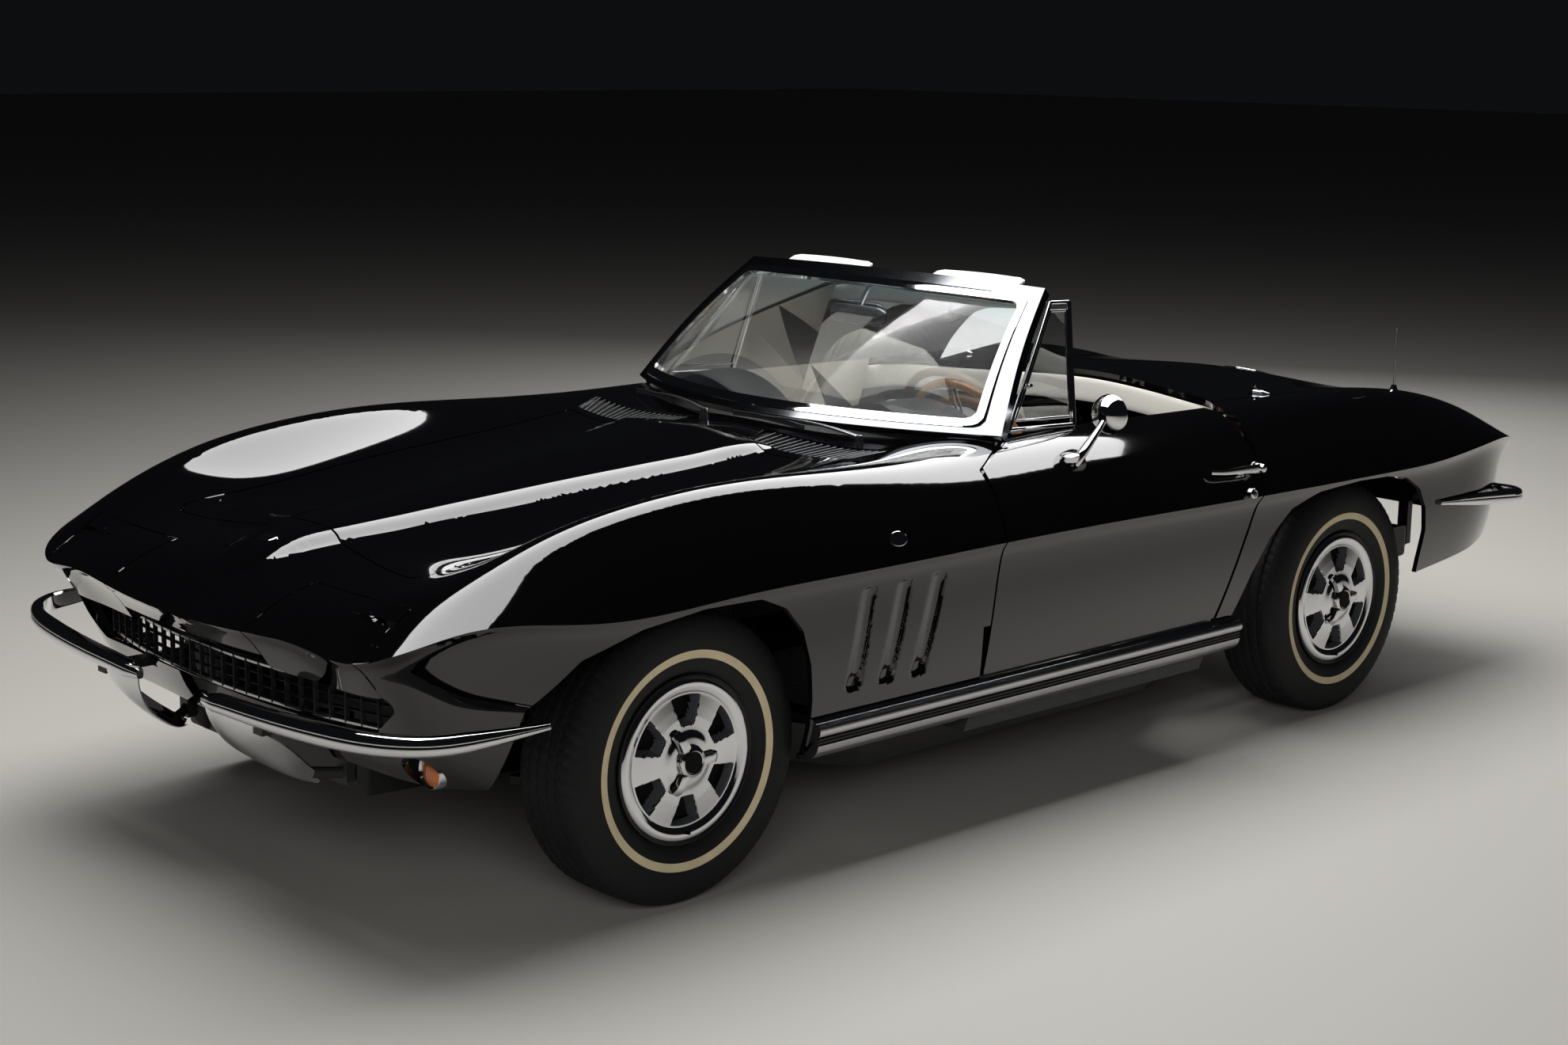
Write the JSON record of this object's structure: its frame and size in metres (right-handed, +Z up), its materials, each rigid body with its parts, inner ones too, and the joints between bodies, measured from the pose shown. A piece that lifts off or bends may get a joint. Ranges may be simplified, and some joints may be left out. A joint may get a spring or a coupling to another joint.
{
  "type": "two-seat open sports car",
  "caption": "Open two-seat sports car: black fibreglass body with a sharp crease line on a steel ladder frame, with opening panels, steering and turning wheels.",
  "frame": {"origin": "on the ground under the middle of the car's bounding box", "axes": "-Y is the nose, +Y the tail, +X the driver's (left) side, +Z up"},
  "size_m": [1.7694, 4.4476, 1.2892],
  "materials": {
    "body_paint": "deep gloss black paint over moulded fibreglass",
    "cabin_trim": "off-white carpet and vinyl",
    "dash_vinyl": "dark grained vinyl",
    "wood_rim": "varnished light wood with bright spokes",
    "white_leather": "off-white upholstery leather",
    "visor_vinyl": "off-white vinyl",
    "bright_trim": "polished",
    "bumper_chrome": "mirror plated",
    "wheel_chrome": "plated steel cover on a painted rim",
    "clear_glass": "clear with a faint green tint at the top",
    "amber_lens": "ribbed amber lens",
    "red_lens": "red lens",
    "tyre_rubber": "matt black with a thin tan stripe",
    "frame_black": "satin black chassis paint",
    "engine_iron": "painted",
    "exhaust_steel": "dull"
  },
  "bodies": {
    "body_and_frame": {"antenna": "bumper_chrome", "cabin_tub": "cabin_trim", "chassis_frame": "frame_black", "cowl_vents": "bright_trim", "dashboard": "dash_vinyl", "engine": "engine_iron", "exhaust": "exhaust_steel", "front_body": "body_paint", "front_bumpers": "bumper_chrome", "front_grille": "bright_trim", "front_suspension": "frame_black", "fuel_tank": "frame_black", "parking_lamps": "amber_lens", "radiator": "frame_black", "rear_body": "body_paint", "rear_bumpers": "bumper_chrome", "rear_suspension": "frame_black", "rocker_mouldings": "bright_trim", "seat_left": "white_leather", "seat_right": "white_leather", "tail_lamps": "red_lens", "visors_and_mirror": "visor_vinyl", "windshield_frame": "bright_trim", "windshield_glass": "clear_glass", "wipers": "bright_trim"},
    "door_left": {"door_left": "body_paint", "vent_window_left": "bumper_chrome", "door_fittings_left": "bumper_chrome"},
    "door_right": {"door_right": "body_paint", "vent_window_right": "bumper_chrome", "door_fittings_right": "bumper_chrome"},
    "hood": {"hood": "body_paint"},
    "deck_lid": {"deck_lid": "body_paint"},
    "headlight_left": {"headlight_pod_left": "body_paint"},
    "headlight_right": {"headlight_pod_right": "body_paint"},
    "steering_wheel": {"steering_wheel": "wood_rim"},
    "knuckle_left": {"knuckle_left": "frame_black"},
    "knuckle_right": {"knuckle_right": "frame_black"},
    "wheel_front_left": {"wheel_front_left": "wheel_chrome", "tyre_front_left": "tyre_rubber"},
    "wheel_front_right": {"wheel_front_right": "wheel_chrome", "tyre_front_right": "tyre_rubber"},
    "wheel_rear_left": {"wheel_rear_left": "wheel_chrome", "tyre_rear_left": "tyre_rubber"},
    "wheel_rear_right": {"wheel_rear_right": "wheel_chrome", "tyre_rear_right": "tyre_rubber"}
  },
  "joints": [
    {"name": "door_left_hinge", "type": "hinge", "parent": "body_and_frame", "child": "door_left", "pos_m": [0.864, -0.37, 0.65], "axis": [0, 0, -1], "range_deg": [0, 65]},
    {"name": "door_right_hinge", "type": "hinge", "parent": "body_and_frame", "child": "door_right", "pos_m": [-0.864, -0.37, 0.65], "axis": [0, 0, 1], "range_deg": [0, 65]},
    {"name": "hood_hinge", "type": "hinge", "parent": "body_and_frame", "child": "hood", "pos_m": [0, -1.78, 0.77681], "axis": [1, 0, 0], "range_deg": [0, 50]},
    {"name": "deck_lid_hinge", "type": "hinge", "parent": "body_and_frame", "child": "deck_lid", "pos_m": [0, 1.3, 0.90127], "axis": [-1, 0, 0], "range_deg": [0, 48]},
    {"name": "headlight_left_turn", "type": "hinge", "parent": "body_and_frame", "child": "headlight_left", "pos_m": [0.4775, -2.105, 0.684], "axis": [1, 0, 0], "range_deg": [0, 180]},
    {"name": "headlight_right_turn", "type": "hinge", "parent": "body_and_frame", "child": "headlight_right", "pos_m": [-0.4775, -2.105, 0.684], "axis": [1, 0, 0], "range_deg": [0, 180]},
    {"name": "steer_left", "type": "hinge", "parent": "body_and_frame", "child": "knuckle_left", "pos_m": [0.655, -1.39, 0.338], "axis": [0, 0, 1], "range_deg": [-28, 28]},
    {"name": "steer_right", "type": "hinge", "parent": "body_and_frame", "child": "knuckle_right", "pos_m": [-0.655, -1.39, 0.338], "axis": [0, 0, 1], "range_deg": [-28, 28]},
    {"name": "steering_wheel_turn", "type": "hinge", "parent": "body_and_frame", "child": "steering_wheel", "pos_m": [0.37, 0, 0.838], "axis": [0, 0.9063, 0.4226], "range_deg": [-480, 480]},
    {"name": "wheel_front_left_spin", "type": "hinge", "parent": "knuckle_left", "child": "wheel_front_left", "pos_m": [0.716, -1.39, 0.338], "axis": [1, 0, 0], "continuous": true},
    {"name": "wheel_front_right_spin", "type": "hinge", "parent": "knuckle_right", "child": "wheel_front_right", "pos_m": [-0.716, -1.39, 0.338], "axis": [1, 0, 0], "continuous": true},
    {"name": "wheel_rear_left_spin", "type": "hinge", "parent": "body_and_frame", "child": "wheel_rear_left", "pos_m": [0.724, 1.099, 0.338], "axis": [1, 0, 0], "continuous": true},
    {"name": "wheel_rear_right_spin", "type": "hinge", "parent": "body_and_frame", "child": "wheel_rear_right", "pos_m": [-0.724, 1.099, 0.338], "axis": [1, 0, 0], "continuous": true}
  ],
  "couplings": [
    {"joint": "steer_right", "follows": "steer_left", "ratio": 1},
    {"joint": "steering_wheel_turn", "follows": "steer_left", "ratio": 17},
    {"joint": "headlight_right_turn", "follows": "headlight_left_turn", "ratio": 1}
  ]
}
